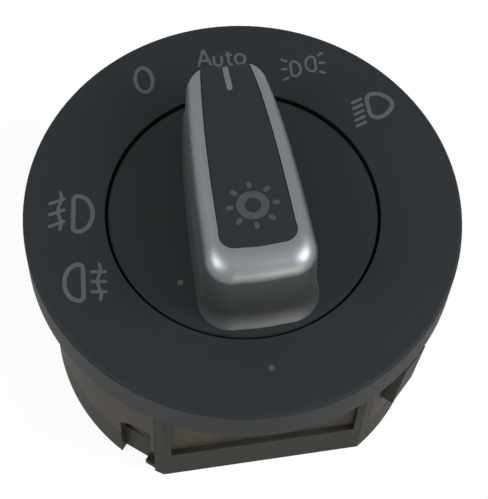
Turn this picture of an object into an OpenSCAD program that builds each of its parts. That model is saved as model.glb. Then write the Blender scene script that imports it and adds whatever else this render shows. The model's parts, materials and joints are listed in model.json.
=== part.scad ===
// Rotary headlight switch of a car: bezel, turning knob with a wedge grip, barrel with claws and connector.
// Origin on the knob's axis in the plane of the bezel's rear edge, which seats on the dashboard.
// +Z out of the face along the knob's axis, +Y towards the upright position of the pointer.

/* [Bezel] */
// Outer diameter of the bezel
bezel_d = 70; // [66:1:76]
// Height of the bezel's skirt
bezel_h = 8; // [7:0.5:10]
// Thickness of the bezel's face
bezel_face_t = 1.8; // [1.4:0.1:2.4]
// Thickness of the bezel's skirt
bezel_skirt_t = 2.2; // [1.8:0.1:2.6]
// Rounding of the bezel's front edge
bezel_edge_r = 0.6; // [0.3:0.1:1.2]
// How much smaller the skirt's rear edge is in radius
bezel_draft = 0.1; // [0:0.1:0.8]

/* [Knob] */
// Diameter of the knob's disc
disc_d = 43; // [41:0.5:44]
// Gap between the disc and the bezel
disc_gap = 0.5; // [0.3:0.1:0.8]
// Thickness of the disc
disc_t = 1.8; // [1.4:0.1:2.2]
// How far the disc lies below the bezel's face
disc_sink = 0.2; // [0:0.1:0.4]
// Depth of the disc's skirt below the bezel's face
disc_skirt_h = 7.5; // [7:0.1:8]
// Radius of the knob's hub
hub_r = 7.4; // [7:0.1:8]

/* [Grip] */
// Height of the grip's lower end above the face
grip_h = 16; // [13:0.5:18]
// Height of the grip's pointer end above the face
grip_tip_h = 12.6; // [10:0.2:14]
// Distance from the axis to the grip's lower end at its top edge
grip_back = 18.1; // [17:0.1:18.6]
// Distance from the axis to the grip's pointer end at its top edge
grip_front = 20.5; // [19:0.1:20.8]
// Half width of the grip's top at its lower end
grip_w_back = 8.2; // [7.5:0.1:8.6]
// Half width of the grip's top at its pointer end
grip_w_front = 4.5; // [4:0.1:5]
// How far the grip's sides flare out towards the disc
grip_flare = 1.4; // [0.6:0.1:1.6]
// How far the grip's lower end flares out towards the disc
grip_end_flare = 2.6; // [1:0.1:2.6]
// Wall of the silver trim
trim_t = 1.1; // [0.9:0.1:1.4]
// Thickness of the black inlay
inlay_t = 1.5; // [1.2:0.1:2]
// Half width of the inlay at its lower end
inlay_w_back = 5.95; // [5.4:0.05:6.2]
// Half width of the inlay at its pointer end
inlay_w_front = 3.85; // [3.4:0.05:4]
// Distance from the axis to the inlay's lower edge
inlay_back = 13.4; // [12.4:0.1:14]

/* [Barrel] */
// Diameter of the barrel
barrel_d = 63.2; // [62:0.2:63.6]
// Depth of the barrel behind the bezel's rear edge
barrel_h = 35; // [34:0.5:40]
// Wall of the barrel
barrel_t = 1.6; // [1.4:0.1:2]
// How deep the flat cuts into the barrel
flat_depth = 4.9; // [4.4:0.1:5.4]
// How far the housing's flat lies back behind the snap posts
flat_recess = 1; // [0.8:0.1:1.2]
// How far the collar in the panel's cut-out stands proud of the barrel
collar_out = 0.6; // [0.5:0.05:0.8]
// Length of the collar behind the bezel
collar_l = 3; // [2:0.2:3]
// Height of the rear cover's wall
cover_h = 9; // [8.6:0.1:10]

/* [Latches] */
// How far the claws stand out of the barrel
claw_out = 2.9; // [2.4:0.1:3]
// Width of a claw
claw_w = 5.6; // [5:0.2:7]
// Distance from the bezel's rear edge to the claw's shoulder, the panel's room
claw_z = 3.4; // [3:0.1:4]
// Length of a claw along the barrel
claw_l = 15.4; // [12:0.2:15.8]
// How much less a claw stands out at its rear end
claw_lean = 0.9; // [0.5:0.1:1.5]

/* [Motion] */
// Travel of the knob when it is pushed in
push_travel = 2.5; // [1.5:0.1:2.5]
// Travel of the knob when it is pulled out
pull_travel = 6; // [4:0.5:6]
// Angle between two positions of the switch
detent_step = 27; // [24:1:27]
// Radius of the rotor's bearing
bearing_r = 10; // [9.6:0.1:10.4]
// Radial running clearance of the rotor in its bearing
bearing_fit = 0.05; // [0.03:0.01:0.08]
// Side of the knob's square shaft
shaft_w = 7; // [6:0.1:7.2]
// Play of the square shaft in the rotor and in the hub, each side
shaft_fit = 0.1; // [0.06:0.02:0.16]
// Wire diameter of the push spring
spring_wire = 0.6; // [0.4:0.05:0.7]

/* [Electrics] */
// Thickness of the circuit board
board_t = 1.6; // [1:0.2:1.6]
// Side of a terminal pin
pin_w = 0.64; // [0.5:0.02:0.8]
// Spacing of the pins along a row
pin_pitch = 3.2; // [2.6:0.1:3.4]
// Distance between the two rows of pins
row_gap = 5.6; // [5:0.1:6]
// Length of the connector's socket inside
socket_w = 32.4; // [31:0.2:33]
// Width of the connector's socket inside
socket_h = 13.4; // [12.6:0.2:13.8]

/* [Hidden] */
$fn = 96;
eps = 0.01;
face_z = bezel_h;
bezel_r = bezel_d / 2;
barrel_r = barrel_d / 2;
flat_y = barrel_r - flat_depth;
corner_x = sqrt(pow(barrel_r, 2) - pow(flat_y, 2));
disc_r = disc_d / 2;
hole_r = disc_r + disc_gap;

// Levels along the axis, from the disc down to the rear
disc_top = face_z - disc_sink;
disc_low = disc_top - disc_t;
skirt_low = face_z - disc_skirt_h;
disc_skirt_t = 1.4;
hub_low = skirt_low + 0.5;
ring_low = 4;
ring_top = face_z - bezel_face_t;
rotor_top = -2.6;
wheel_t = 2.4;
deck_top = -7;
deck_t = 1.6;
boss_top = rotor_top - wheel_t - 0.2;
boss_low = -10.8;
spring_seat = -8;
collar_t = 1.1;
board_top = -13;
board_low = board_top - board_t;
rotor_low = board_low + 0.2;
neck_top = -20.9;
neck_h = 1.4;
neck_r = 2.5;
button_r = 3.3;
button_t = 1;
slider_t = 1.2;
slider_low = neck_top - neck_h + 0.1;
cover_top = -barrel_h + cover_h;
floor_t = 1.6;
floor_top = -barrel_h + floor_t;
tub_top = slider_low + 0.2;
tub_t = 1.5;

// Snaps between the bezel and the housing
hook_r = bezel_r - 1.1;
hook_z = [2.1, 3.9];
hook_span = 8;
snap_fit = 0.15;

// Angles seen from the front, counted from +X
symbol_angles = [90 + detent_step, 90, 90 - detent_step, 90 - 2 * detent_step, 172, 198];
claw_angles = [-45, 135];
hook_angles = [-139, -49, 41, 131];
rib_angles = [-14, 15, 48, 76, 104, 160, 185, 212];
pocket_angle = -130;
pocket_w = [-4.2, 2.5];
pocket_h = 7.6;
pocket_d = 1.7;
detent_angle = -90;

// The barrel's section, and smaller ones that nest in it
inner_r = barrel_r - barrel_t;
housing_flat = flat_y - flat_recess;
inner_flat = housing_flat - barrel_t;

module d_plan(r, flat) {
    intersection() {
        circle(r);
        translate([-r, -flat]) square([2 * r, 2 * r + flat]);
    }
}

module d_prism(r, flat, low, high) {
    translate([0, 0, low]) linear_extrude(high - low) d_plan(r, flat);
}

module at(angle, r = 0) {
    rotate([0, 0, angle]) translate([r, 0, 0]) children();
}

module tube(outer, inner, low, high) {
    translate([0, 0, low]) difference() {
        cylinder(r = outer, h = high - low);
        translate([0, 0, -1]) cylinder(r = inner, h = high - low + 2);
    }
}

module box(x, y, z) {
    translate([x[0], y[0], z[0]]) cube([x[1] - x[0], y[1] - y[0], z[1] - z[0]]);
}

function around(middle, half) = [middle - half, middle + half];

// A plate standing on its edge: the outline is given as radius and height
module radial_plate(w) {
    rotate([90, 0, 0]) translate([0, 0, -w / 2]) linear_extrude(w) children();
}

module wedge(start, span) {
    reach = bezel_r;
    polygon([[0, 0], reach * [cos(start), sin(start)], reach * [cos(start + span), sin(start + span)]]);
}

// Closed surface through sections: each section is a closed loop of as many points, with a ladder cap
// from the first half of the loop to the second at both ends
module skin(sections) {
    m = len(sections);
    n = len(sections[0]);
    h = n / 2;
    points = [for (s = sections) for (p = s) p];
    side = [for (i = [0:m - 2]) for (k = [0:n - 1]) let (a = i * n + k, b = i * n + (k + 1) % n)
        each [[a, a + n, b + n], [a, b + n, b]]];
    low = [for (k = [0:h - 2]) each [[k, k + 1, n - 2 - k], [k, n - 2 - k, n - 1 - k]]];
    top = [for (f = low) [for (k = [2, 1, 0]) f[k] + (m - 1) * n]];
    polyhedron(points, concat(side, low, top), convexity = 6);
}

// The same with the sections along a path and the caps at the path's ends
module sweep(sections) {
    m = len(sections);
    n = len(sections[0]);
    h = n / 2;
    points = [for (s = sections) for (p = s) p];
    side = [for (i = [0:m - 2]) for (k = [0:n - 1]) let (a = i * n + k, b = i * n + (k + 1) % n)
        each [[a, b, b + n], [a, b + n, a + n]]];
    start = [for (k = [0:h - 2]) each [[k, n - 2 - k, k + 1], [k, n - 1 - k, n - 2 - k]]];
    end = [for (f = start) [for (k = [2, 1, 0]) f[k] + (m - 1) * n]];
    polyhedron(points, concat(side, start, end), convexity = 6);
}

// Coil spring along +Z with closed ends
module coil(r, wire, turns, length, sides, steps) {
    count = turns * steps;
    rise = length - wire;
    sweep([for (i = [0:count]) let (a = 360 * i / steps, z = wire / 2 + rise * i / count)
        [for (k = [0:sides - 1]) let (b = 360 * k / sides, q = r + wire / 2 * cos(b))
            [q * cos(a), q * sin(a), z + wire / 2 * sin(b)]]]);
}

// Grip: every level of it is the same loop with other widths and ends
taper_start = -14;
function taper(y) = let (s = (y - taper_start) / (grip_front - taper_start)) 0.35 * s + 0.65 * pow(s, 3);
function half_width(y, back, front) = back - (back - front) * taper(y);
grip_corner = 4.4;
tip_corner = 1.2;
tip_drop = 1.2;
tip_from = 12;

// Top of the grip: a straight slope, rounded down towards the pointer end
function grip_top(y) = face_z + grip_h
    - (grip_h - grip_tip_h) * (y + grip_back) / (grip_back + grip_front)
    - tip_drop * pow(max(0, (y - tip_from) / (grip_front - tip_from)), 2);

// Right half of a level, from the middle of the lower end to the middle of the pointer end
function half_loop(back_w, front_w, back_y, front_y, corner, tip) =
    let (cx = back_w - corner, cy = -back_y + corner, tx = half_width(front_y - tip, back_w, front_w) - tip)
    concat(
        [for (s = [0.2, 0.6]) [cx * s, -back_y - 0.5 * pow(1 - s * s, 2)]],
        [for (a = [-90:18:0]) [cx + corner * cos(a), cy + corner * sin(a)]],
        [for (s = [0.1:0.1:0.9]) let (y = cy + (front_y - tip - cy) * s) [half_width(y, back_w, front_w), y]],
        [for (a = [0:30:90]) [tx + tip * cos(a), front_y - tip + tip * sin(a)]]);
function mirrored(half) = [for (i = [len(half) - 1:-1:0]) [-half[i][0], half[i][1]]];
function whole(half) = concat(half, mirrored(half));

foot_share = 0.24;
foot_curl = 0.85;
function flare(t) = (1 - foot_curl) * (1 - t) + foot_curl * pow(max(0, 1 - t / foot_share), 2);
function outer_half(t, inset) = half_loop(
    grip_w_back + grip_flare * flare(t) - inset, grip_w_front + 0.4 * grip_flare * flare(t) - inset * 0.45,
    grip_back + grip_end_flare * flare(t) - inset, grip_front + 0.3 * flare(t),
    grip_corner + 0.8 * flare(t) - inset, tip_corner);
function inlay_half(grow) = half_loop(inlay_w_back + grow, inlay_w_front + grow,
    inlay_back + grow, grip_front - 0.15, 1.8, 0.6);
function lift(loop, t, drop) = [for (p = loop)
    [p[0], p[1], disc_top + (grip_top(p[1]) - drop - disc_top) * t]];
function blend(a, b, s) = [for (i = [0:len(a) - 1]) a[i] * (1 - s) + b[i] * s];
function lower(loop, d) = [for (p = loop) [p[0], p[1], p[2] - d]];

trim_levels = [0, 0.06, 0.12, 0.24, 0.5, 0.8];
trim_gap = 0.08;
edge_r = 1.5;
edge_share = 0.7;
trim_ends = 2;

module bezel() {
    wall_in = bezel_r - bezel_skirt_t;
    collar_t = 1.2;
    color("#2c2f30") difference() {
        union() {
            rotate_extrude() polygon(concat(
                [[wall_in, 0], [bezel_r - bezel_draft, 0], [bezel_r, face_z - bezel_edge_r]],
                [for (a = [15:15:90]) [bezel_r, face_z] + bezel_edge_r * [cos(a) - 1, sin(a) - 1]],
                [[hole_r, face_z], [hole_r, skirt_low + 1.7], [hole_r + collar_t, skirt_low + 1.7],
                 [hole_r + collar_t, ring_top], [wall_in, ring_top]]));
        }
        for (a = hook_angles) at(a) box([wall_in - 1, hook_r + snap_fit], [-3, 3], hook_z + snap_fit * [-1, 1]);
        at(-90, dot_at) translate([0, 0, ring_top - 1])
            cylinder(r = dot_r + 0.02, h = bezel_face_t + 2, $fn = 24);
    }
}

dot_at = bezel_r - 8;
dot_r = 0.5;
leg_r = 1.4;
leg_at = hole_r + 3.5;

module symbol_light_guide() {
    color("#d9e2e2") {
        tube(bezel_r - bezel_skirt_t - 0.4, hole_r + 1.4, ring_low, ring_top);
        for (a = symbol_angles) at(a, leg_at)
            translate([0, 0, board_top + 1.6]) cylinder(r = leg_r, h = ring_low - board_top - 1.6 + 0.2);
    }
}

module bezel_dot_pipe() {
    color("#d8cf9a") at(-90, dot_at) translate([0, 0, ring_top])
        cylinder(r = dot_r, h = bezel_face_t + 0.02, $fn = 24);
}

// The knob's cavities over the light guide: one beside the hub, one under the pointer line
guide_x = 4.2;
guide_back = [-12.2, -8];
pointer_x = 1.6;
pointer_y = [13, 18.6];
socket_top = 15.2;

module guide_ways(grow, low, drop) {
    top = grip_top(guide_back[1]) - inlay_t - drop;
    box([-guide_x - grow, guide_x + grow], [guide_back[0] - grow, guide_back[1] + grow], [low, top]);
    box([-guide_x - grow, guide_x + grow], [guide_back[0] - grow, -3.8 + grow], [socket_top + 0.8 - grow, top]);
    box([-pointer_x - grow, pointer_x + grow], [pointer_y[0] - grow, pointer_y[1] + grow],
        [low, grip_top(pointer_y[1]) - inlay_t - drop]);
}

module square_bar(w, low, high) {
    translate([-w / 2, -w / 2, low]) cube([w, w, high - low]);
}

module knob() {
    core_inset = trim_t + trim_gap;
    rings = [for (t = concat(trim_levels, [1])) lift(whole(outer_half(t, core_inset)), t, inlay_t + 0.12)];
    color("#2a2d2e") difference() {
        union() {
            rotate_extrude() polygon([[0, disc_low], [disc_r - disc_skirt_t, disc_low],
                [disc_r - disc_skirt_t, skirt_low], [disc_r, skirt_low], [disc_r, disc_top - 0.3],
                [disc_r - 0.3, disc_top], [0, disc_top]]);
            translate([0, 0, hub_low]) cylinder(r = hub_r, h = disc_low - hub_low + 0.5);
            skin(rings);
        }
        square_bar(shaft_w + 2 * shaft_fit, hub_low - 1, socket_top);
        guide_ways(0.2, hub_low, 0.3);
        at(dot_angle, disc_dot_at) translate([0, 0, disc_low - 1])
            cylinder(r = dot_r + 0.02, h = disc_t + 2, $fn = 24);
    }
}

dot_angle = -137.8;
disc_dot_at = disc_r - 5.7;

module disc_dot_pipe() {
    color("#d8cf9a") at(dot_angle, disc_dot_at)
        translate([0, 0, disc_low]) cylinder(r = dot_r, h = disc_t + 0.02, $fn = 24);
}

// Silver trim: a band round the sides and the lower end, with a rounded lip down to the inlay
module grip_trim() {
    outer_top = lift(path_of(outer_half(1, 0)), 1, 0);
    lip = lift(path_of(inlay_half(0.06)), 1, 0);
    outer = [for (t = trim_levels) lift(path_of(outer_half(t, 0)), t, edge_r)];
    inner = [for (t = trim_levels) lift(path_of(outer_half(t, trim_t)), t, inlay_t)];
    edge = [for (a = [0, 30, 60, 90])
        lower(blend(outer_top, lip, edge_share * (1 - cos(a))), edge_r * (1 - sin(a)))];
    wall_top = lift(path_of(outer_half(1, trim_t)), 1, inlay_t);
    under = [for (s = [0, 0.33, 0.66, 0.95]) blend(wall_top, lower(lip, inlay_t), s)];
    rows = concat(outer, edge, [lip], [lower(lip, inlay_t - 0.1)], [for (i = [3:-1:0]) under[i]],
        [for (i = [len(inner) - 1:-1:0]) inner[i]]);
    color("#b9bcbd") sweep([for (i = [0:len(lip) - 1]) [for (r = rows) r[i]]]);
}
function path_of(half) = let (cut = [for (i = [0:len(half) - 1 - trim_ends]) half[i]])
    concat(mirrored(cut), cut);

module grip_inlay() {
    loop = whole(inlay_half(0));
    color("#303335") skin([lower(lift(loop, 1, 0), inlay_t), lower(lift(loop, 1, 0), 0.15),
        lift(whole(inlay_half(-0.12)), 1, 0)]);
}

module knob_light_guide() {
    plate_top = disc_low - 0.15;
    color("#dfe7e6") difference() {
        union() {
            tube(disc_r - disc_skirt_t - 0.4, hub_r + 0.3, plate_top - 1.4, plate_top);
            guide_ways(0, plate_top - 1, 0.4);
        }
        translate([0, 0, plate_top - 3]) cylinder(r = hub_r + 0.3, h = 3 - eps);
    }
}

module knob_shaft() {
    color("#c9cac4") {
        square_bar(shaft_w, neck_top, socket_top - push_travel - 0.6);
        translate([0, 0, spring_seat + 0.1]) cylinder(r = hub_r - 0.2, h = collar_t);
        translate([0, 0, neck_top - neck_h - button_t]) {
            cylinder(r = neck_r, h = button_t + neck_h + 0.5);
            cylinder(r = button_r, h = button_t);
        }
    }
}

spring_r = 6.5;
module push_spring() {
    low = spring_seat + 0.1 + collar_t + 0.05;
    color("#a9acae") translate([0, 0, low])
        coil(spring_r, spring_wire, 5, hub_low - low - 0.05, 8, 16);
}

// Rotor: journal, spring pocket, detent wheel with its notches, stop lug and the square way for the shaft
rotor_neck_r = 6.6;
wheel_r = 12.5;
notch_r = 1.6;
notch_depth = 1;
lug_at = 60;
lug_span = 16;
lug_out = 2;
stop_span = 4;
stop_gap = 1;
module rotor() {
    color("#e8e4d8") difference() {
        union() {
            translate([0, 0, rotor_top - wheel_t]) linear_extrude(wheel_t) difference() {
                union() {
                    circle(wheel_r);
                    intersection() {
                        circle(wheel_r + lug_out);
                        wedge(lug_at - lug_span / 2, lug_span);
                    }
                }
                for (k = [-1:2]) rotate(detent_angle + k * detent_step)
                    translate([wheel_r + notch_r - notch_depth, 0]) circle(notch_r, $fn = 32);
            }
            translate([0, 0, boss_low - 0.1]) cylinder(r = bearing_r, h = rotor_top - boss_low - 0.5);
            translate([0, 0, rotor_low]) cylinder(r = rotor_neck_r, h = boss_low - rotor_low + 1);
        }
        translate([0, 0, spring_seat]) cylinder(r = hub_r + 0.2, h = 10);
        square_bar(shaft_w + 2 * shaft_fit, rotor_low - 1, spring_seat + 1);
    }
}

disc_plate_r = 14;
wiper_h = boss_low - 1.4 - board_top;
wiper_at = 8.4;
module contact_disc() {
    color("#3a3a38") tube(disc_plate_r, rotor_neck_r + 0.05, board_top + wiper_h, boss_low - 0.2);
}

// Three sprung fingers under the contact disc, inside the rows of pins
module wipers() {
    color("#c98f4e") for (k = [0:2]) at(100 + 120 * k, wiper_at) translate([0, 0, board_top]) radial_plate(1.1)
        polygon([[-0.7, wiper_h], [0.7, wiper_h], [0.45, 0.35], [0.15, 0.12], [-0.15, 0.12], [-0.45, 0.35]]);
}

// Fixed deck: bearing boss, passages for the light guide's legs, seats for the springs and the rotor's stops
module bearing_deck() {
    post_w = spring_slot - 0.7;
    color("#4a4b49") difference() {
        union() {
            d_prism(inner_r - 0.2, inner_flat - 0.2, deck_top - deck_t, deck_top);
            translate([0, 0, boss_low]) cylinder(r = bearing_r + 2.2, h = boss_top - boss_low);
            for (a = claw_angles) at(a) box([spring_post - 1.2, spring_post], around(0, post_w / 2),
                [deck_top - 1, claw_spring_z + 1.8]);
            for (s = [-1, 1]) translate([s * leaf_end, -leaf_y - 0.9, deck_top - 0.5])
                cylinder(r = leaf_post_r, h = 4.6);
            for (a = [lug_at + detent_step + lug_span / 2 + stop_gap,
                lug_at - 2 * detent_step - lug_span / 2 - stop_gap - stop_span]) intersection() {
                tube(wheel_r + lug_out + 0.6, wheel_r + 0.6, deck_top - 0.5, rotor_top - 0.4);
                translate([0, 0, deck_top - 1]) linear_extrude(rotor_top - deck_top + 1) wedge(a, stop_span);
            }
        }
        translate([0, 0, boss_low - 1]) cylinder(r = bearing_r + bearing_fit, h = 12);
        for (a = symbol_angles) at(a, leg_at) translate([0, 0, deck_top - 4]) cylinder(r = leg_r + 0.2, h = 8);
        for (x = [-1, 1] * knob_led_x) translate([x, 0, deck_top - 4]) cylinder(r = leg_r + 0.2, h = 8);
        for (a = claw_angles) at(a) claw_room(deck_top - 4, deck_top + eps);
        for (s = [-1, 1]) translate([s * leaf_end, -leaf_y, boss_low])
            translate([-2, -leaf_t / 2 - 0.03, deck_top - boss_low + eps]) cube([4, leaf_t + 0.06, 8]);
    }
}

// Leaf spring beside the wheel: a strip with its nose over the notch
leaf_end = 8;
leaf_y = 15.6;
leaf_t = 0.4;
leaf_half = leaf_end + 1.4;
leaf_post_r = 1.3;
nose_w = 2.1;
nose_gap = 0.15;
module detent_spring() {
    nose = leaf_y - wheel_r - nose_gap - leaf_t / 2;
    line = [for (k = [-10:10]) let (x = leaf_half * k / 10) [x, -leaf_y + nose * exp(-pow(x / nose_w, 2))]];
    n = len(line);
    slope = [for (i = [0:n - 1]) let (d = line[min(n - 1, i + 1)] - line[max(0, i - 1)])
        [-d[1], d[0]] / norm(d)];
    color("#b7b9b8") translate([0, 0, rotor_top - wheel_t + 0.2]) linear_extrude(wheel_t - 0.4)
        polygon(concat([for (i = [0:n - 1]) line[i] - slope[i] * leaf_t / 2],
            [for (i = [n - 1:-1:0]) line[i] + slope[i] * leaf_t / 2]));
}

// Claw: shoulder and lead-in outside, arm with a window for its spring, wedge under the knob's skirt
claw_in = barrel_r - 2.2;
arm_top = -5;
arm_low = deck_top + 0.2;
spring_post = 24.7;
claw_spring_wire = 0.35;
claw_spring_r = 1.2;
claw_spring_z = -5.4;
claw_gap = 0.4;
spring_slot = 3.7;
module claw_room(low, high) {
    box([claw_in - push_travel - claw_gap, barrel_r + 1], around(0, claw_w / 2 + claw_gap), [low, high]);
}

module claw(angle) {
    top = -claw_z;
    low = top - claw_l;
    skirt_in = disc_r - disc_skirt_t;
    wedge_top = skirt_low + 0.3;
    wedge_r = skirt_in - 0.6;
    at(angle) difference() {
        union() {
            radial_plate(claw_w) polygon([[claw_in, top], [barrel_r + claw_out - 0.3, top],
                [barrel_r + claw_out, top - 0.3], [barrel_r + claw_out - claw_lean, low + 0.5],
                [barrel_r + claw_out - claw_lean - 0.5, low], [claw_in, low]]);
            radial_plate(claw_w) polygon([[wedge_r - 2.5, arm_low], [claw_in + 0.5, arm_low],
                [claw_in + 0.5, arm_top], [wedge_r + 3.3, arm_top], [wedge_r + 3.3, wedge_top - 3.3],
                [wedge_r, wedge_top], [wedge_r - 1.6, wedge_top], [wedge_r - 2.5, arm_top]]);
        }
        box([spring_post - 1.4, claw_in], around(0, spring_slot / 2), [arm_low - 1, arm_top + 1]);
    }
}
module claw_left() { color("#3d3e3c") claw(claw_angles[1]); }
module claw_right() { color("#3d3e3c") claw(claw_angles[0]); }

module claw_spring(angle) {
    at(angle) translate([spring_post + 0.05, 0, claw_spring_z]) rotate([0, 90, 0])
        coil(claw_spring_r, claw_spring_wire, 5, claw_in - spring_post - 0.1, 6, 12);
}
module claw_spring_left() { color("#a9acae") claw_spring(claw_angles[1]); }
module claw_spring_right() { color("#a9acae") claw_spring(claw_angles[0]); }

knob_led_x = 18.2;
board_r = inner_r - 2;
board_flat = inner_flat - 0.4;
pin_y = -13;
pin_count = [9, 8];

module pins(w, low, high) {
    for (row = [0, 1]) for (k = [0:pin_count[row] - 1]) let (x = (k - (pin_count[row] - 1) / 2) * pin_pitch)
        translate([x - w / 2, pin_y + (0.5 - row) * row_gap - w / 2, low]) cube([w, w, high - low]);
}

module circuit_board() {
    color("#2f6b45") difference() {
        d_prism(board_r, board_flat, board_low, board_top);
        translate([0, 0, board_low - 1]) cylinder(r = rotor_neck_r + 0.8, h = board_t + 2);
        for (a = claw_angles) at(a) claw_room(board_low - 1, board_top + 1);
        pins(pin_w + 0.16, board_low - 1, board_top + 1);
    }
}

module led(w, h) {
    translate([-w / 2, -w / 2, board_top]) cube([w, w, h]);
}

module leds() {
    led_w = 2.8;
    led_h = 1.2;
    color("#efe9c8") {
        for (a = symbol_angles) at(a, leg_at) led(led_w, led_h);
        for (x = [-1, 1] * knob_led_x) translate([x, 0, 0]) led(led_w, led_h);
    }
}

// Chip and relay under the board, given as left edge, width, lower edge, depth and height; two round
// capacitors, given as place, radius and height; and a row of resistors on top beside the flat
blocks = [[board_r - 15.5, 8.5, -1, 7, 1.8], [6 - board_r, 9, -5, 6, 4.6]];
cans = [[11 - board_r, 9, 3, 6.4], [board_r - 11, 12, 2.4, 5]];
resistor = [2, 1.2, 0.6];
module board_components() {
    color("#333534") {
        for (b = blocks) translate([b[0], b[2], board_low - b[4]]) cube([b[1], b[3], b[4]]);
        for (c = cans) translate([c[0], c[1], board_low - c[3]]) cylinder(r = c[2], h = c[3]);
        for (k = [0:3]) translate([resistor[0] * (2 * k - 3), 3.1 - board_flat, board_top]) cube(resistor);
    }
}

module terminal_pins() {
    color("#cdb56a") pins(pin_w, floor_top + 2.4, board_top + 0.8);
}

post_x = 6.5;
post_y = 12;
post_r = 1.5;
slider_x = 8.6;
slider_y = [-4.2, 15.2];
module fog_slider() {
    color("#d9d4c4") difference() {
        translate([0, 0, slider_low]) linear_extrude(slider_t) difference() {
            translate([-slider_x, slider_y[0]]) square([2 * slider_x, slider_y[1] - slider_y[0]]);
            circle(neck_r + 0.2);
            translate([-neck_r - 0.2, -6]) square([2 * neck_r + 0.4, 6]);
        }
        for (s = [-1, 1]) translate([s * post_x, post_y, slider_low - 1])
            cylinder(r = post_r + 0.05, h = slider_t + 2);
    }
}

// Two bent strips that hang from the board beside the slider's edge
strip = [2.4, 0.4];
module fog_contacts() {
    line = [[1.4, board_low], [1.1, slider_low + 3.2], [0.4, slider_low + 1.6], [0.9, slider_low - 0.2]];
    color("#c98f4e") for (x = [-4, 1.6]) translate([x, slider_y[1], 0]) rotate([90, 0, 90])
        linear_extrude(strip[0]) polygon(concat(line, [for (i = [3:-1:0]) line[i] + [strip[1], 0]]));
}

// Housing: the D-shaped barrel with ribs that carry the board and the deck, hooks for the bezel, claw windows
module housing() {
    color("#5b5a54") difference() {
        union() {
            difference() {
                union() {
                    d_prism(barrel_r, housing_flat, cover_top, ring_low);
                    d_prism(barrel_r + collar_out, housing_flat, -collar_l, 0);
                }
                d_prism(inner_r, inner_flat, cover_top - 1, ring_low + 1);
            }
            for (a = rib_angles) at(a) {
                box([board_r + 0.6, inner_r + 0.6], [-1, 1], [cover_top + 2.4, deck_top - deck_t]);
                box([board_r - 0.8, inner_r + 0.6], [-1, 1], [cover_top + 2.4, board_low]);
            }
            for (a = hook_angles) rotate([0, 0, a - hook_span / 2]) rotate_extrude(angle = hook_span)
                polygon([[inner_r + 0.8, hook_z[0]], [hook_r, hook_z[0]], [hook_r, hook_z[0] + 0.5],
                    [barrel_r + 0.6, hook_z[1]], [inner_r + 0.8, hook_z[1]]]);
        }
        for (a = claw_angles) at(a) box([inner_r - 2, barrel_r + 3], [-claw_w / 2 - 0.3, claw_w / 2 + 0.3],
            [-claw_z - claw_l - 0.3, -claw_z + 0.2]);
        rotate([0, 0, pocket_angle]) translate([inner_r - 2, 0, cover_top]) rotate([90, 0, 90])
            linear_extrude(barrel_t + 4) polygon([[pocket_w[0], -1], [1.8, -1], [1.8, pocket_h],
                [-1.8, pocket_h], [pocket_w[0], pocket_h - 2.7]]);
        for (s = [-1, 1]) box(around(s * corner_x, 1), [-flat_y, -inner_flat + 1], tongue_z + [-0.2, 0.2]);
    }
}

// Snap posts of the rear cover: their top end, and the tongues that reach into the housing's flat
post_top = -3.6;
tongue_z = [-6, -4.6];

// Rear cover: floor, wall, lip into the housing, socket for the plug, guide posts, two snap posts on the
// flat, and the rear half of the pocket in the barrel's side
module rear_cover() {
    lip_t = 1.2;
    tub_x = socket_w / 2;
    tub_y = [pin_y - socket_h / 2, pin_y + socket_h / 2];
    color("#454541") difference() {
        union() {
            difference() {
                d_prism(barrel_r, flat_y, -barrel_h, cover_top);
                d_prism(inner_r - lip_t, inner_flat - lip_t, floor_top, cover_top + 1);
            }
            difference() {
                d_prism(inner_r - 0.15, inner_flat - 0.15, cover_top - 1, cover_top + 1.6);
                d_prism(inner_r - lip_t, inner_flat - lip_t, cover_top - 2, cover_top + 2);
            }
            box([-tub_x - tub_t, tub_x + tub_t], [tub_y[0] - tub_t, tub_y[1] + tub_t], [-barrel_h, tub_top]);
            for (s = [-1, 1]) {
                translate([s * post_x, post_y, -barrel_h + 0.5])
                    cylinder(r = post_r, h = barrel_h - 0.5 + board_low - 0.3);
                intersection() {
                    d_prism(barrel_r, flat_y, cover_top - 1, post_top);
                    box(around(s * corner_x, 1.3), [-flat_y - 1, -housing_flat - 0.05],
                        [cover_top - 1, post_top]);
                }
                box(around(s * corner_x, 0.8), [-housing_flat - 0.3, -housing_flat + 0.8], tongue_z);
            }
        }
        rotate([0, 0, pocket_angle]) difference() {
            box([barrel_r - pocket_d, barrel_r + 1], pocket_w, [-barrel_h - 1, cover_top + 2]);
            box([barrel_r - pocket_d - 1, barrel_r - 0.5], [0.4, pocket_w[1] + 1],
                [-barrel_h - 2, -barrel_h + 1.6]);
        }
        box([-tub_x, tub_x], tub_y, [-barrel_h - 1, tub_top - tub_t]);
        pins(pin_w + 0.16, -barrel_h, tub_top + 1);
    }
}

bezel();
symbol_light_guide();
bezel_dot_pipe();
knob();
grip_trim();
grip_inlay();
knob_light_guide();
disc_dot_pipe();
knob_shaft();
push_spring();
rotor();
contact_disc();
wipers();
bearing_deck();
detent_spring();
claw_left();
claw_right();
claw_spring_left();
claw_spring_right();
circuit_board();
leds();
board_components();
terminal_pins();
fog_slider();
fog_contacts();
housing();
rear_cover();
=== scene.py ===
# %% [markdown]
# A rotary headlight switch, as it sits in a car's dashboard: a round matt black bezel with lamp
# symbols, a black disc that turns in it, and a wedge grip with a satin silver band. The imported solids
# give every place and size. This script dresses them: it gives each one a material, replaces the
# grip's band and inlay by finer surfaces, and adds the printed symbols.

# %% Load the solids
import json
import bpy
import numpy as np
from mathutils import Matrix, Vector


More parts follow.
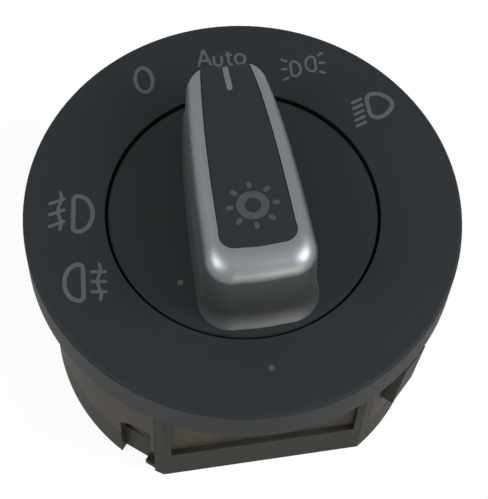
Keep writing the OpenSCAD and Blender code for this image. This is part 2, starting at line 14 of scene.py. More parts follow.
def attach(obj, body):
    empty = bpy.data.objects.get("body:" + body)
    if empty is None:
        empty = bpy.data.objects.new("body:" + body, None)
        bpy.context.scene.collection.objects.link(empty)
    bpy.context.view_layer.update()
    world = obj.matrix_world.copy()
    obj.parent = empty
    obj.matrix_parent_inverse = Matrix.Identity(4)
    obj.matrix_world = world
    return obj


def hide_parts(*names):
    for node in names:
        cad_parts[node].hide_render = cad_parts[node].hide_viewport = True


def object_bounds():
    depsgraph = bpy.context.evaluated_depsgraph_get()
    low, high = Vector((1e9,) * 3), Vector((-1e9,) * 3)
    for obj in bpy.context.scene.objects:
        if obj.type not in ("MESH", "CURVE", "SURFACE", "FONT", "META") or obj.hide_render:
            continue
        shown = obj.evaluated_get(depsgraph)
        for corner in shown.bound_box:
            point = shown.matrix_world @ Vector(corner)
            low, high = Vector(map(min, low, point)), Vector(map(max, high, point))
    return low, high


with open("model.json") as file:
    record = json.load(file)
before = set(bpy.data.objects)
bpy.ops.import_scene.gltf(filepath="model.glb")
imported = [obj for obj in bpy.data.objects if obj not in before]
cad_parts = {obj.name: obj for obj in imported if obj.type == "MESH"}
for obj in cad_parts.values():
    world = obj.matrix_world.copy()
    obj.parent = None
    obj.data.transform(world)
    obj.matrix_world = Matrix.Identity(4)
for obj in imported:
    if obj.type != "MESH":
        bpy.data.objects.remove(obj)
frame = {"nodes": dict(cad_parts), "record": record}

MM = 0.001
solid_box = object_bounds()
nodes = frame["nodes"]
print("solids loaded:", len(nodes))

# %% [markdown]
# The picture was taken from above the lower edge of the bezel, a little turned. The view is written
# as a photographer would say it: distance, height angle, turn about the switch's axis and roll. The
# three axes of the camera are worked out from these angles, and the lens from the field of view.

# %% Camera
PICTURE_WIDE, PICTURE_HIGH = 488, 499
FOCAL_PIXELS = 2000
SENSOR_MM = 36
DISTANCE, HEIGHT_ANGLE, TURN, ROLL = 318.09, 64.36, 12.84, 3.92
AIM_RIGHT, AIM_UP = -0.13, 5.94
FACE_Z = 8.0


def turned(vector_a, vector_b, degrees):
    """Two axes turned in their own plane: the cosine of one plus the sine of the other, and so on."""
    c, s = np.cos(np.radians(degrees)), np.sin(np.radians(degrees))
    return c * vector_a + s * vector_b, -s * vector_a + c * vector_b


def camera_axes():
    """Right, up and back of the camera: back rises by the height angle, then all turn about the axis."""
    rise = np.radians(HEIGHT_ANGLE)
    back = np.array([0, -np.cos(rise), np.sin(rise)])
    right = np.array([1.0, 0, 0])
    right, up = turned(right, np.cross(back, right), ROLL)
    c, s = np.cos(np.radians(TURN)), np.sin(np.radians(TURN))
    about_axis = np.array([[c, -s, 0], [s, c, 0], [0, 0, 1]])
    return np.array([right, up, back]) @ about_axis


axes = camera_axes()
place = -axes.T @ np.array([AIM_RIGHT, AIM_UP, -DISTANCE]) + np.array([0, 0, FACE_Z])
camera_data = bpy.data.cameras.new("camera")
camera_data.sensor_width = SENSOR_MM
camera_data.lens = FOCAL_PIXELS * SENSOR_MM / max(PICTURE_WIDE, PICTURE_HIGH)
camera_data.clip_start, camera_data.clip_end = 0.01, 10
camera = bpy.data.objects.new("camera", camera_data)
bpy.context.scene.collection.objects.link(camera)
camera.matrix_world = Matrix.Translation(Vector(place) * MM) @ Matrix(axes.T.tolist()).to_4x4()
bpy.context.scene.camera = camera
print("camera at", np.round(place, 1), "mm, lens", round(camera_data.lens, 1), "mm")

# %% [markdown]
# Light: a plain, soft studio. The world is white where the camera, a reflection or clear plastic
# sees it, and weaker where it only lights the object, so that a black face stays black. Two soft lamps
# stand high at the left and the right of the grip's lower end. Each is mirrored in one rounded corner
# of the silver band, which gives the two bright spots there. A low and slightly warm lamp in front
# lights the skirt and the barrel, which the high lamps only graze.

# %% Node and colour helpers
def linear(code):
    """A colour from its sRGB hex code, each channel turned to linear by the sRGB curve."""
    channels = np.array([int(code[k:k + 2], 16) for k in (1, 3, 5)]) / 255
    low, high = channels / 12.92, ((channels + 0.055) / 1.055) ** 2.4
    return (*np.where(channels <= 0.04045, low, high).tolist(), 1.0)


def add_node(tree, kind, links=(), **settings):
    """A node of a kind with its settings, where a name of an input sets that input, and its links."""
    node = tree.nodes.new(kind)
    for name, value in settings.items():
        if hasattr(node, name):
            setattr(node, name, value)
        else:
            node.inputs[name.replace("_", " ")].default_value = value
    for socket, source in links:
        tree.links.new(node.inputs[socket], source)
    return node


# %% World, lamps and floor
WORLD_LIGHT = 0.55
STUDIO_WHITE = linear("#FFFFFF")


def seen_directly(tree):
    """1 for camera, glossy and transmission rays, and 0 for the rays that only carry light."""
    path = add_node(tree, "ShaderNodeLightPath")
    kinds = ("Is Camera Ray", "Is Glossy Ray", "Is Transmission Ray")
    camera_ray, glossy_ray, clear_ray = (path.outputs[kind] for kind in kinds)
    first = add_node(tree, "ShaderNodeMath", [(0, camera_ray), (1, glossy_ray)], operation="MAXIMUM")
    both = add_node(tree, "ShaderNodeMath", [(0, first.outputs[0]), (1, clear_ray)], operation="MAXIMUM")
    return both.outputs[0]


world = bpy.data.worlds.new("studio")
bpy.context.scene.world = world
world.use_nodes = True
world.node_tree.nodes.clear()
strength = add_node(world.node_tree, "ShaderNodeMapRange", [("Value", seen_directly(world.node_tree))])
strength.inputs["To Min"].default_value = WORLD_LIGHT
strength.inputs["To Max"].default_value = 1.0
glow = add_node(world.node_tree, "ShaderNodeBackground", [("Strength", strength.outputs["Result"])],
                Color=STUDIO_WHITE)
add_node(world.node_tree, "ShaderNodeOutputWorld", [("Surface", glow.outputs[0])])


def soft_lamp(name, place_mm, aim_mm, size_mm, watts, code="#FFFFFF"):
    """A square area lamp at one point that faces another."""
    data = bpy.data.lights.new(name, "AREA")
    data.size = size_mm * MM
    data.energy = watts
    data.color = linear(code)[:3]
    lamp = bpy.data.objects.new(name, data)
    bpy.context.scene.collection.objects.link(lamp)
    lamp.location = Vector(place_mm) * MM
    lamp.rotation_euler = (Vector(place_mm) - Vector(aim_mm)).to_track_quat("Z", "Y").to_euler()
    return lamp


soft_lamp("left_lamp", (-315, -55, 315), (0, 0, 0), 170, 1.3)
soft_lamp("right_lamp", (295, -120, 285), (0, 0, 0), 170, 1.7)
soft_lamp("front_lamp", (150, -420, 50), (0, 0, -15), 320, 0.9, "#FFF4E4")
bpy.context.scene.view_settings.view_transform = "Standard"

REST_Z = solid_box[0][2] / MM
FLOOR_GLOW = 0.85
floor_mesh = bpy.data.meshes.new("floor")
span = 1.5
floor_corners = [(-span, -span, 0), (span, -span, 0), (span, span, 0), (-span, span, 0)]
floor_mesh.from_pydata(floor_corners, [], [(0, 1, 2, 3)])
floor_mesh.transform(Matrix.Translation((0, 0, (REST_Z - 0.05) * MM)))
floor = bpy.data.objects.new("floor", floor_mesh)
bpy.context.scene.collection.objects.link(floor)

paper = bpy.data.materials.new("pale_paper_floor")
paper.use_nodes = True
paper.node_tree.nodes.clear()
matt = add_node(paper.node_tree, "ShaderNodeBsdfDiffuse", Color=linear("#F2F2F2"))
white = add_node(paper.node_tree, "ShaderNodeEmission", Color=STUDIO_WHITE)
share = add_node(paper.node_tree, "ShaderNodeMath", [(0, seen_directly(paper.node_tree))],
                 operation="MULTIPLY")
share.inputs[1].default_value = FLOOR_GLOW
both = add_node(paper.node_tree, "ShaderNodeMixShader",
                [(0, share.outputs[0]), (1, matt.outputs[0]), (2, white.outputs[0])])
add_node(paper.node_tree, "ShaderNodeOutputMaterial", [("Surface", both.outputs[0])])
floor_mesh.materials.append(paper)

# %% [markdown]
# Plastics first. The bezel and the disc are moulded in black and painted with a soft matt lacquer that
# is later cut by laser for the symbols. Its surface is a fine even grain, which scatters the light so
# that the face has no highlight. The barrel behind it is glass filled plastic straight from the mould:
# a warmer and duller grey, with cloudy flow marks along the barrel.

# %% Moulded plastics
def moulded(name, code, roughness, grain_mm, grain_depth_mm, gloss=0.5, cloud=0.10, cloud_mm=9.0,
            streak=(1, 1, 1), ior=1.46):
    """Moulded plastic: a base colour that drifts slowly, a noise of the grain's width as bump, and gloss
    as the share of the specular reflection that the grain leaves."""
    material = bpy.data.materials.new(name)
    material.use_nodes = True
    tree = material.node_tree
    tree.nodes.clear()
    where = add_node(tree, "ShaderNodeTexCoord").outputs["Object"]
    drawn = add_node(tree, "ShaderNodeMapping", [("Vector", where)])
    drawn.inputs["Scale"].default_value = streak
    clouds = add_node(tree, "ShaderNodeTexNoise", [("Vector", drawn.outputs[0])],
                      Scale=1 / (cloud_mm * MM), Detail=3.0)
    colour = np.array(linear(code))
    mixed = add_node(tree, "ShaderNodeMix", [("Factor", clouds.outputs["Fac"])], data_type="RGBA")
    mixed.inputs["A"].default_value = (*(colour[:3] * (1 - cloud)), 1)
    mixed.inputs["B"].default_value = (*(colour[:3] * (1 + cloud)), 1)
    grain = add_node(tree, "ShaderNodeTexNoise", [("Vector", where)], Scale=1 / (grain_mm * MM), Detail=2.0)
    bump = add_node(tree, "ShaderNodeBump", [("Height", grain.outputs["Fac"])], Distance=grain_depth_mm * MM)
    shine = add_node(tree, "ShaderNodeMapRange", [("Value", clouds.outputs["Fac"])])
    shine.inputs["To Min"].default_value = roughness - 0.04
    shine.inputs["To Max"].default_value = roughness + 0.04
    body = add_node(tree, "ShaderNodeBsdfPrincipled", [("Base Color", mixed.outputs["Result"]),
                    ("Roughness", shine.outputs["Result"]), ("Normal", bump.outputs["Normal"])],
                    IOR=ior, Specular_IOR_Level=gloss)
    add_node(tree, "ShaderNodeOutputMaterial", [("Surface", body.outputs[0])])
    return material


finish = {
    "bezel_black": moulded("matt_lacquered_ABS", "#171B1D", 0.62, 0.45, 0.015, 0.18),
    "inlay_black": moulded("matt_lacquered_inlay", "#171C20", 0.58, 0.40, 0.012, 0.18),
    "barrel_black": moulded("glass_filled_polyamide", "#35322A", 0.56, 0.6, 0.03, 0.06, 0.40, 4,
                            (1, 1, 0.35)),
    "cover_black": moulded("glass_filled_polyamide_dark", "#262622", 0.56, 0.6, 0.03, 0.06, 0.30, 4,
                           (1, 1, 0.4)),
    "natural_plastic": moulded("natural_acetal", "#E3DFCF", 0.38, 1.0, 0.004, 0.5, 0.03, ior=1.48),
    "board_green": moulded("solder_mask_laminate", "#1F5B33", 0.30, 0.9, 0.006, 0.5, 0.06, 4, ior=1.5),
    "parts_black": moulded("epoxy_packages", "#232423", 0.55, 0.3, 0.01, 0.4, 0.08, 3, ior=1.5),
}
print("moulded finishes:", ", ".join(finish))

# %% [markdown]
# The metals: the grip's band is plastic with a satin silver coat, which mirrors broadly and has no
# grain of its own. Spring steel is drawn wire with fine lines along it, and the pins and wipers are
# stamped and plated copper alloy.

# %% Metals
def metal(name, code, roughness, mark_mm, mark_depth_mm, stretch=(1, 1, 1)):
    """Metal: the colour in its reflections, and a stretched noise of the marks' width as bump."""
    material = bpy.data.materials.new(name)
    material.use_nodes = True
    tree = material.node_tree
    tree.nodes.clear()
    where = add_node(tree, "ShaderNodeTexCoord").outputs["Object"]
    drawn = add_node(tree, "ShaderNodeMapping", [("Vector", where)])
    drawn.inputs["Scale"].default_value = stretch
    marks = add_node(tree, "ShaderNodeTexNoise", [("Vector", drawn.outputs[0])],
                     Scale=1 / (mark_mm * MM), Detail=2.0)
    bump = add_node(tree, "ShaderNodeBump", [("Height", marks.outputs["Fac"])], Distance=mark_depth_mm * MM)
    shine = add_node(tree, "ShaderNodeMapRange", [("Value", marks.outputs["Fac"])])
    shine.inputs["To Min"].default_value = roughness - 0.03
    shine.inputs["To Max"].default_value = roughness + 0.03
    body = add_node(tree, "ShaderNodeBsdfPrincipled", [("Roughness", shine.outputs["Result"]),
                    ("Normal", bump.outputs["Normal"])], Base_Color=linear(code), Metallic=1.0)
    add_node(tree, "ShaderNodeOutputMaterial", [("Surface", body.outputs[0])])
    return material


finish["trim_silver"] = metal("satin_silver_coat", "#727779", 0.44, 0.5, 0.003)
finish["spring_steel"] = metal("drawn_spring_steel", "#B9BBBB", 0.28, 0.2, 0.004, (1, 1, 4))
finish["contact_metal"] = metal("plated_copper_alloy", "#C9A35B", 0.30, 0.3, 0.003)

# %% [markdown]
# Clear parts: the light guides are clear moulded plastic, and the two dots are the ends of thin light
# pipes, which are a dim greyish amber when unlit. The symbols are not white paint. They are windows cut
# into the black lacquer, with the milky plastic beneath, so unlit they are a cool dark grey. The sun is
# the dimmest, and the pointer line lets the most through.

# %% Clear and milky plastics
def milky(name, code, roughness, through, ior=1.49, gloss=0.5):
    """Translucent plastic: one base colour, part of the light passing, with a slow drift in its gloss."""
    material = bpy.data.materials.new(name)
    material.use_nodes = True
    tree = material.node_tree
    tree.nodes.clear()
    where = add_node(tree, "ShaderNodeTexCoord").outputs["Object"]
    drift = add_node(tree, "ShaderNodeTexNoise", [("Vector", where)], Scale=1 / (2.0 * MM), Detail=2.0)
    shine = add_node(tree, "ShaderNodeMapRange", [("Value", drift.outputs["Fac"])])
    shine.inputs["To Min"].default_value = roughness - 0.05
    shine.inputs["To Max"].default_value = roughness + 0.05
    body = add_node(tree, "ShaderNodeBsdfPrincipled", [("Roughness", shine.outputs["Result"])],
                    Base_Color=linear(code), Transmission_Weight=through, IOR=ior, Specular_IOR_Level=gloss)
    add_node(tree, "ShaderNodeOutputMaterial", [("Surface", body.outputs[0])])
    return material


finish["clear_plastic"] = milky("clear_polycarbonate", "#DFE6E6", 0.12, 0.9, 1.58)
finish["dot_amber"] = milky("amber_light_pipe", "#3E3D34", 0.35, 0.1, gloss=0.15)
symbol_window = milky("laser_cut_symbol_window", "#3B4248", 0.55, 0.0, gloss=0.2)
sun_window = milky("laser_cut_sun_window", "#30373C", 0.55, 0.0, gloss=0.2)
pointer_window = milky("laser_cut_pointer_window", "#515A60", 0.55, 0.0, gloss=0.2)

for part in frame["record"]["subparts"]:
    for place_of_material in nodes[part["node"]].material_slots:
        place_of_material.material = finish[part["material_slot"]]

# %% [markdown]
# The grip is a wedge: broad and high at its lower end, narrow at the pointer end, with sides that
# flare softly into the disc. Every level of it is the same loop with other widths, so one function
# gives the right half of that loop, and the silver band and the black inlay are both made from it.
# The solids use the same formulas with few points. Here they get many, so that reflections run
# smoothly along the band.

# %% Levels of the grip
DISC_TOP = 7.8
GRIP_HIGH, TIP_HIGH = 16.0, 12.6
GRIP_BACK, GRIP_FRONT = 18.1, 20.5
WIDE_BACK, WIDE_FRONT = 8.2, 4.5
SIDE_FLARE, END_FLARE = 1.4, 2.6
FRONT_SHARE, TIP_FLARE, CORNER_FLARE = 0.4, 0.3, 0.8
FOOT_SHARE, FOOT_CURL = 0.24, 0.85
BAND_END_FLARE, BAND_FOOT_SHARE, BAND_FOOT_CURL = 1.8, 0.29, 0.58
BACK_CORNER, TIP_CORNER = 4.4, 1.2
BAND_BACK, BAND_FRONT, BAND_TIP = 0.55, 1.55, 3.1
CORE_BOW, BAND_BOW = 0.5, 0.2
TAPER_START = -14.0
TIP_FROM, TIP_DROP = 12.0, 1.2
BAND_WALL, INLAY_THICK = 1.1, 1.5
INLAY_BACK, INLAY_WIDE_BACK, INLAY_WIDE_FRONT = 13.4, 5.95, 3.85
INLAY_CORNER = 2.4
EDGE_ROUND, EDGE_POWER = 3.4, 1.0
TIP_END, BAND_TIP_END = 30.0, 74.0
INNER_LEVELS = (0.8, 0.5, 0.24, 0.16, 0.08, 0)


def half_width(y, back, front):
    """Half width at y: from back to front by 0.35 of the way run plus 0.65 of its cube."""
    run = (y - TAPER_START) / (GRIP_FRONT - TAPER_START)
    return back - (back - front) * (0.35 * run + 0.65 * run ** 3)


def grip_top(y):
    """Height of the grip's top at y: a straight slope, less a parabola near the pointer end."""
    slope = (GRIP_HIGH - TIP_HIGH) * (y + GRIP_BACK) / (GRIP_BACK + GRIP_FRONT)
    bow = np.maximum(0, (y - TIP_FROM) / (GRIP_FRONT - TIP_FROM)) ** 2
    return FACE_Z + GRIP_HIGH - slope - TIP_DROP * bow


def half_loop(back_w, front_w, back_y, front_y, corner, tip, tip_end=90.0, bow_out=CORE_BOW):
    """Right half of a level as points (x, y): a shallow bow across the lower end, an arc round its
    corner, the tapering side, and an arc round the tip's corner up to tip_end degrees."""
    cx, cy = back_w - corner, corner - back_y
    tx = half_width(front_y - tip, back_w, front_w) - tip
    s = np.linspace(0, 1, 9)[1:-1]
    bow = np.column_stack([cx * s, -back_y - bow_out * (1 - s ** 2) ** 2])
    a = np.radians(np.linspace(-90, 0, 13))
    arc = np.column_stack([cx + corner * np.cos(a), cy + corner * np.sin(a)])
    y = cy + (front_y - tip - cy) * np.linspace(0, 1, 34)[1:-1]
    side = np.column_stack([half_width(y, back_w, front_w), y])
    b = np.radians(np.linspace(0, tip_end, 7))
    end = np.column_stack([tx + tip * np.cos(b), front_y - tip + tip * np.sin(b)])
    return np.vstack([bow, arc, side, end])


def whole_path(half):
    """The mirrored half, backwards, and then the half: from tip to tip round the lower end."""
    return np.vstack([half[::-1] * [-1, 1], half])


def flare(t, foot_share=FOOT_SHARE, foot_curl=FOOT_CURL):
    """Share of the flare at level t: an even lean on the way up, and a parabola that curls the foot out."""
    return (1 - foot_curl) * (1 - t) + foot_curl * max(0.0, 1 - t / foot_share) ** 2


def core_half(t, inset, tip_end=90.0):
    """Outline of the solid grip at level t, from 0 at the disc to 1 at the top, moved in by inset."""
    out = flare(t)
    return half_loop(WIDE_BACK + SIDE_FLARE * out - inset,
                     WIDE_FRONT + FRONT_SHARE * SIDE_FLARE * out - 0.45 * inset,
                     GRIP_BACK + END_FLARE * out - inset, GRIP_FRONT + TIP_FLARE * out,
                     BACK_CORNER + CORNER_FLARE * out - inset, TIP_CORNER, tip_end)


def band_half(t):
    """Outside of the band at level t: the same outline, a little fuller along the sides and most so at
    the pointer end, where the band keeps its width and turns in round a larger corner. Its foot curls
    out more gently than the core's."""
    out = flare(t, BAND_FOOT_SHARE, BAND_FOOT_CURL)
    return half_loop(WIDE_BACK + BAND_BACK + (SIDE_FLARE - BAND_BACK) * out,
                     WIDE_FRONT + BAND_FRONT + FRONT_SHARE * SIDE_FLARE * out,
                     GRIP_BACK + BAND_END_FLARE * out, GRIP_FRONT + TIP_FLARE * out,
                     BACK_CORNER + CORNER_FLARE * out, BAND_TIP, BAND_TIP_END, BAND_BOW)


def inlay_half(grow, tip_end=90.0):
    """Outline of the black inlay, grown by a little."""
    return half_loop(INLAY_WIDE_BACK + grow, INLAY_WIDE_FRONT + grow, INLAY_BACK + grow,
                     GRIP_FRONT - 0.15, INLAY_CORNER, 0.6, tip_end, BAND_BOW)


def lifted(points, t, drop):
    """Points (x, y) given a height: t of the way from the disc to the top less the drop."""
    high = DISC_TOP + (grip_top(points[:, 1]) - drop - DISC_TOP) * t
    return np.column_stack([points, high])


# %% [markdown]
# A surface here is a grid of points: one row for each section, one column for each place round the
# section. Quads join neighbours, and a closed section or a cap closes the shape. The faces are written
# so that they all point outwards.

# %% Grid surfaces
def object_from(name, points_mm, faces, material, smooth=True):
    """A mesh object with its place in its mesh, from points in millimetres and lists of corners."""
    mesh = bpy.data.meshes.new(name)
    mesh.from_pydata((np.asarray(points_mm) * MM).tolist(), [], [list(map(int, f)) for f in faces])
    mesh.validate()
    mesh.materials.append(material)
    mesh.polygons.foreach_set("use_smooth", [smooth] * len(mesh.polygons))
    piece = bpy.data.objects.new(name, mesh)
    bpy.context.scene.collection.objects.link(piece)
    return piece


def grid_quads(rows, columns, first=0, wrap=True):
    """Corners of the quads between neighbouring rows, round the columns if they wrap."""
    count = columns if wrap else columns - 1
    i, k = np.meshgrid(np.arange(rows - 1), np.arange(count), indexing="ij")
    here, beside = i * columns + k, i * columns + (k + 1) % columns
    return (np.stack([here, beside, beside + columns, here + columns], -1) + first).reshape(-1, 4)


def sharpen(piece, degrees):
    """Marks the edges between faces that meet at more than an angle, so that they stay crisp."""
    mesh = piece.data
    mesh.set_sharp_from_angle(angle=np.radians(degrees))
    return piece


# %% [markdown]
# The silver band: its section starts at the disc on the outside, climbs the flared wall, rolls over a
# rounded shoulder to the inlay, drops into the inlay's seat and runs back down inside. The section is
# carried along the U from the pointer's left corner round the lower end to its right corner. It ends
# a little before the tip, where the black core shows.

# %% Silver band of the grip
def band_section_rows():
    """Every row of the band's section as a path round the grip, from the disc over the top and back. The
    shoulder is a quarter of a superellipse: powers of cosine and sine for the way in and the way down."""
    outer_top = lifted(whole_path(band_half(1)), 1, 0)
    lip = lifted(whole_path(inlay_half(0.06, TIP_END)), 1, 0)
    inside_top = lifted(whole_path(core_half(1, BAND_WALL, TIP_END)), 1, INLAY_THICK)
    down = np.array([0, 0, 1])
    foot = np.linspace(0, BAND_FOOT_SHARE, 9)
    levels = np.concatenate([foot, np.linspace(BAND_FOOT_SHARE, 0.97, 9)[1:]])
    rows = [lifted(whole_path(band_half(t)), t, EDGE_ROUND) for t in levels]
    for a in np.radians(np.linspace(0, 90, 17)):
        share_in = 1 - np.cos(a) ** EDGE_POWER
        sink = EDGE_ROUND * (1 - np.sin(a) ** EDGE_POWER)
        rows.append(outer_top * (1 - share_in) + lip * share_in - down * sink)
    rows += [lip - down * d for d in (0.04, 0.4, INLAY_THICK - 0.1)]
    for share_in in (0.7, 0.35, 0.0):
        rows.append(inside_top * (1 - share_in) + (lip - down * INLAY_THICK) * share_in)
    rows += [lifted(whole_path(core_half(t, BAND_WALL, TIP_END)), t, INLAY_THICK) for t in INNER_LEVELS]
    return np.array(rows)


rows = band_section_rows()
sections = rows.transpose(1, 0, 2)
count_along, count_round = sections.shape[:2]
faces = grid_quads(count_along, count_round).tolist()
faces = [f[::-1] for f in faces]
faces.append(list(range(count_round)))
faces.append([(count_along - 1) * count_round + k for k in range(count_round)][::-1])
band = sharpen(object_from("grip_band", sections.reshape(-1, 3), faces, finish["trim_silver"]), 35)
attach(band, "knob_body")
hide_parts("grip_trim")
print("band:", len(band.data.polygons), "faces")

# %% [markdown]
# The inlay is a thin black plate on top of the wedge. Its rim is rounded by a quarter of a millimetre,
# and its top follows the grip's slope. The rings shrink from the outline to a line down its middle, so
# the grid closes without a hole.

# %% Black inlay
RIM = 0.22


def spine_of(loop):
    """For each point of the outline, its place on the middle line, kept inside both ends."""
    return np.column_stack([np.zeros(len(loop)), np.clip(loop[:, 1], 2 - INLAY_BACK, GRIP_FRONT - 2.5)])


outline = whole_path(inlay_half(0.0))
spine = spine_of(outline)
rings = [lifted(outline, 1, INLAY_THICK), lifted(outline, 1, RIM)]
inward = (spine - outline) / np.linalg.norm(spine - outline, axis=1)[:, None]
for a in np.radians(np.linspace(15, 90, 6)):
    rings.append(lifted(outline + inward * RIM * (1 - np.cos(a)), 1, RIM * (1 - np.sin(a))))
rim_loop = outline + inward * RIM
for run in (0.15, 0.35, 0.55, 0.75, 0.9, 1.0):
    rings.append(lifted(rim_loop * (1 - run) + spine * run, 1, 0))
rings = np.array(rings)
faces = grid_quads(len(rings), len(outline)).tolist()
faces.append(list(range(len(outline)))[::-1])
inlay = object_from("grip_inlay_plate", rings.reshape(-1, 3), faces, finish["inlay_black"])
weld = inlay.modifiers.new("close_the_spine", "WELD")
weld.merge_threshold = 0.001 * MM
sharpen(inlay, 40)
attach(inlay, "knob_body")
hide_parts("grip_inlay")
print("inlay:", len(inlay.data.polygons), "faces")

# %% [markdown]
# The symbols are strokes of even width with round ends. Each stroke is a path of points on the face.
# It is resampled evenly, widened to both sides, and narrowed at its two ends by a half circle. It
# stands a few hundredths of a millimetre proud, each a hair higher than the one before, so that no
# two tops lie in one plane where strokes cross.

# %% Strokes
PROUD, SUNK = 0.03, 0.05
STAGGER, STAGGER_COUNT = 0.004, 6


def flat_face(xy):
    """Height of the bezel's face."""
    return np.full(len(xy), FACE_Z)


def stroke(path, width, closed=False, step=0.16):
    """Points (x, y) of the left and right side of a stroke along a path, with round ends."""
    path = np.asarray(path, float)
    if closed:
        path = np.vstack([path, path[:1]])
    length = np.concatenate([[0], np.cumsum(np.linalg.norm(np.diff(path, axis=0), axis=1))])
    total = length[-1]
    radius = width / 2
    if closed:
        at = np.linspace(0, total, max(12, int(total / step)))[:-1]
        half = np.full(len(at), radius)
    else:
        round_end = radius * (1 - np.cos(np.linspace(0.15, np.pi / 2, 5)))
        middle = np.linspace(radius, total - radius, max(3, int(total / step)))
        at = np.concatenate([round_end[:-1], middle, total - round_end[::-1][1:]])
        from_end = np.minimum(at, total - at).clip(0, radius) / radius
        half = radius * np.sqrt(np.clip(1 - (1 - from_end) ** 2, 0.02, 1))
    x, y = (np.interp(at, length, path[:, k]) for k in (0, 1))
    line = np.column_stack([x, y])
    if closed:
        along = np.roll(line, -1, 0) - np.roll(line, 1, 0)
    else:
        along = np.gradient(line, axis=0)
    along /= np.linalg.norm(along, axis=1)[:, None]
    side = np.column_stack([-along[:, 1], along[:, 0]]) * half[:, None]
    return line + side, line - side


def strokes_object(name, strokes, material, height, body):
    """One piece from many strokes: each is a closed strip with a top, a bottom and two sides."""
    points, faces, first = [], [], 0
    for index, (left, right, closed) in enumerate(strokes):
        proud = PROUD + STAGGER * (index % STAGGER_COUNT)
        corners = [(left, -SUNK), (right, -SUNK), (right, proud), (left, proud)]
        section = np.stack([np.column_stack([xy, height(xy) + lift]) for xy, lift in corners], 1)
        n = len(section)
        points.append(section.reshape(-1, 3))
        if closed:
            k = np.arange(4)
            last = np.column_stack([(n - 1) * 4 + k, (n - 1) * 4 + (k + 1) % 4, (k + 1) % 4, k]) + first
            faces += grid_quads(n, 4, first).tolist() + last.tolist()
        else:
            faces += grid_quads(n, 4, first).tolist()
            faces.append([first + 3, first + 2, first + 1, first])
            faces.append([first + (n - 1) * 4 + k for k in range(4)])
        first += n * 4
    piece = object_from(name, np.vstack(points), faces, material, smooth=False)
    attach(piece, body)
    return piece


def placed(paths, centre, scale=1.0, turn=0.0):
    """Paths scaled, turned and moved to their place on the face."""
    c, s = np.cos(np.radians(turn)), np.sin(np.radians(turn))
    turn_by = np.array([[c, s], [-s, c]])
    return [np.asarray(p) * scale @ turn_by + centre for p in paths]


def arc_path(centre, radii, start, end, count=24):
    """Points on an ellipse from one angle to another."""
    a = np.radians(np.linspace(start, end, count))
    return np.column_stack([centre[0] + radii[0] * np.cos(a), centre[1] + radii[1] * np.sin(a)])


# %% [markdown]
# The lamp symbols share one form: a reflector seen from the side, which is a flat lens with a round
# back, drawn with a bolder stroke than its beams. The fog lamps have three beams crossed by a wavy
# line, the low beam has five beams that point down, and the side lamps are two small lamps back to
# back with three beams each.

# %% Forms of the symbols
LINE, LAMP_LINE, SMALL_LINE = 0.52, 0.72, 0.45


def lamp_form(wide, high, corner=0.7, pinch=0.0):
    """A D, closed: a flat lens at x = 0 with rounded corners, and half an ellipse to x = wide whose
    height shrinks by the pinch times the squared cosine towards the back."""
    a = np.radians(np.linspace(-90, 90, 25))
    back = np.column_stack([corner + (wide - corner) * np.cos(a),
                            high / 2 * np.sin(a) * (1 - pinch * np.cos(a) ** 2)])
    upper = arc_path((corner, high / 2 - corner), (corner, corner), 100, 180, 7)
    return np.vstack([back, upper, upper[::-1] * [1, -1]])


def wavy_line(x, low, high, swing=0.26, waves=1.5):
    """A vertical line that swings from side to side like a sine."""
    y = np.linspace(low, high, 26)
    return np.column_stack([x + swing * np.sin(2 * np.pi * waves * (y - low) / (high - low)), y])


def beams(start, reach, heights):
    """Straight beams of one reach (x, y), which start at one x and at several heights."""
    return [np.array([[start, y], [start + reach[0], y + reach[1]]]) for y in heights]


front_fog = beams(-1.25, (-2.75, -1.05), (-1.25, 0.8, 2.75)) + [wavy_line(-2.17, -2.95, 4.0)]
rear_fog = beams(1.1, (2.65, -0.1), (-1.65, 0.1, 1.8)) + [wavy_line(2.48, -3.3, 3.3)]
low_beam = beams(-0.65, (-2.0, -0.72), (-2.66, -1.57, -0.47, 0.63, 1.72))
small_beams = beams(-0.45, (-1.05, 0.6), (1.45,)) + beams(-0.5, (-1.15, 0.0), (0.1,))
small_beams += beams(-0.45, (-1.05, -0.55), (-1.45,))

symbols = []


def add_symbol(paths, closed_count, centre, scale=1.0, turn=0.0, width=LINE):
    """Puts a symbol's strokes on the list, the first ones closed."""
    for k, path in enumerate(placed(paths, centre, scale, turn)):
        closed = k < closed_count
        symbols.append((*stroke(path, width, closed), closed))


def mirrored(paths):
    """The same paths with left and right changed over."""
    return [path * [-1, 1] for path in paths]


add_symbol([lamp_form(3.05, 6.3)], 1, (-26.7, 3.65), turn=-8, width=LAMP_LINE)
add_symbol(front_fog, 0, (-26.7, 3.65), turn=-8)
add_symbol(mirrored([lamp_form(2.95, 6.2)]), 1, (-26.66, -8.45), turn=-6, width=LAMP_LINE)
add_symbol(rear_fog, 0, (-26.66, -8.45), turn=-6)
add_symbol([lamp_form(4.0, 4.5, 1.2, 0.25)], 1, (23.35, 16.0), turn=2, width=LAMP_LINE)
add_symbol(low_beam, 0, (23.3, 16.0))
for way, centre in ((1, (12.05, 24.85)), (-1, (16.2, 25.3))):
    small = [path * [way, 1] for path in [lamp_form(1.6, 2.8, 0.55)] + small_beams]
    add_symbol(small, 1, centre, turn=-3, width=SMALL_LINE)

# %% [markdown]
# Two positions are lettered: a nought for off, and the word for automatic light. The letters are
# plain strokes as well: ellipses, straight lines and a hook.

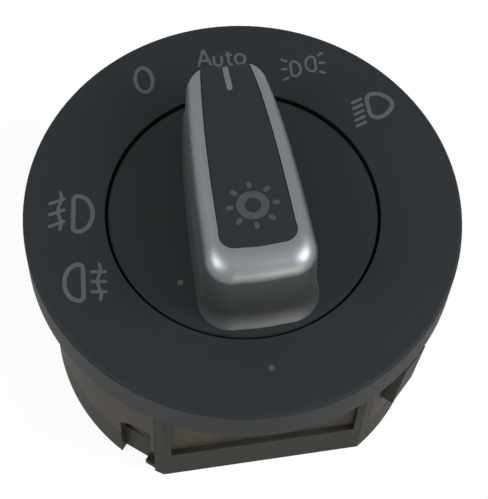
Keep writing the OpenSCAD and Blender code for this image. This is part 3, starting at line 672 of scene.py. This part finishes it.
# %% Lettering
zero = [arc_path((0, 0), (1.4, 2.3), -180, 180, 48)[:-1]]
letter_a = [np.array([[-1.25, 0], [0, 3.7]]), np.array([[0, 3.7], [1.25, 0]]),
            np.array([[-0.8, 1.2], [0.8, 1.2]])]
letter_u = [np.vstack([[[-0.75, 2.2]], arc_path((0, 0.75), (0.75, 0.75), 180, 360, 14), [[0.75, 2.2]]])]
letter_t = [np.vstack([[[-0.2, 3.0]], arc_path((0.5, 0.7), (0.7, 0.7), 180, 280, 10)]),
            np.array([[-0.8, 2.2], [0.65, 2.2]])]
letter_o = [arc_path((0, 1.1), (0.95, 1.1), -180, 180, 30)[:-1]]
add_symbol(zero, 1, (-12.2, 26.3), width=0.62)
WORD = [(letter_a, 0, (-1.9, 27.45)), (letter_u, 0, (0.35, 27.25)), (letter_t, 0, (2.25, 27.15)),
        (letter_o, 1, (4.0, 27.05))]
for letter, closed_strokes, centre in WORD:
    add_symbol(letter, closed_strokes, centre, 0.86, turn=-3, width=0.46)
strokes_object("face_symbols", symbols, symbol_window, flat_face, "root")
print("strokes on the face:", len(symbols))

# %% [markdown]
# On the inlay there are the pointer line and a sun: a ring with eight rays. They lie on the slope of
# the grip's top and turn with the knob.

# %% Symbols of the grip
SUN_Y = -6.4
SUN_RAY = (2.95, 4.2)
sun_ring = arc_path((0, SUN_Y), (1.9, 1.9), -180, 180, 40)[:-1]
sun = [(*stroke(sun_ring, 1.25, True), True)]
for k in range(8):
    way = np.array([np.cos(np.radians(45 * k)), np.sin(np.radians(45 * k))])
    ray = np.array([0, SUN_Y]) + np.array(SUN_RAY)[:, None] * way
    sun.append((*stroke(ray, 0.8), False))
pointer = [(*stroke(np.array([[0, 15.0], [0, 20.15]]), 0.9), False)]


def on_grip(xy):
    """Height of the grip's top under a point."""
    return grip_top(xy[:, 1])


strokes_object("sun_symbol", sun, sun_window, on_grip, "knob_body")
strokes_object("pointer_line", pointer, pointer_window, on_grip, "knob_body")
print("strokes on the grip:", len(sun) + len(pointer))
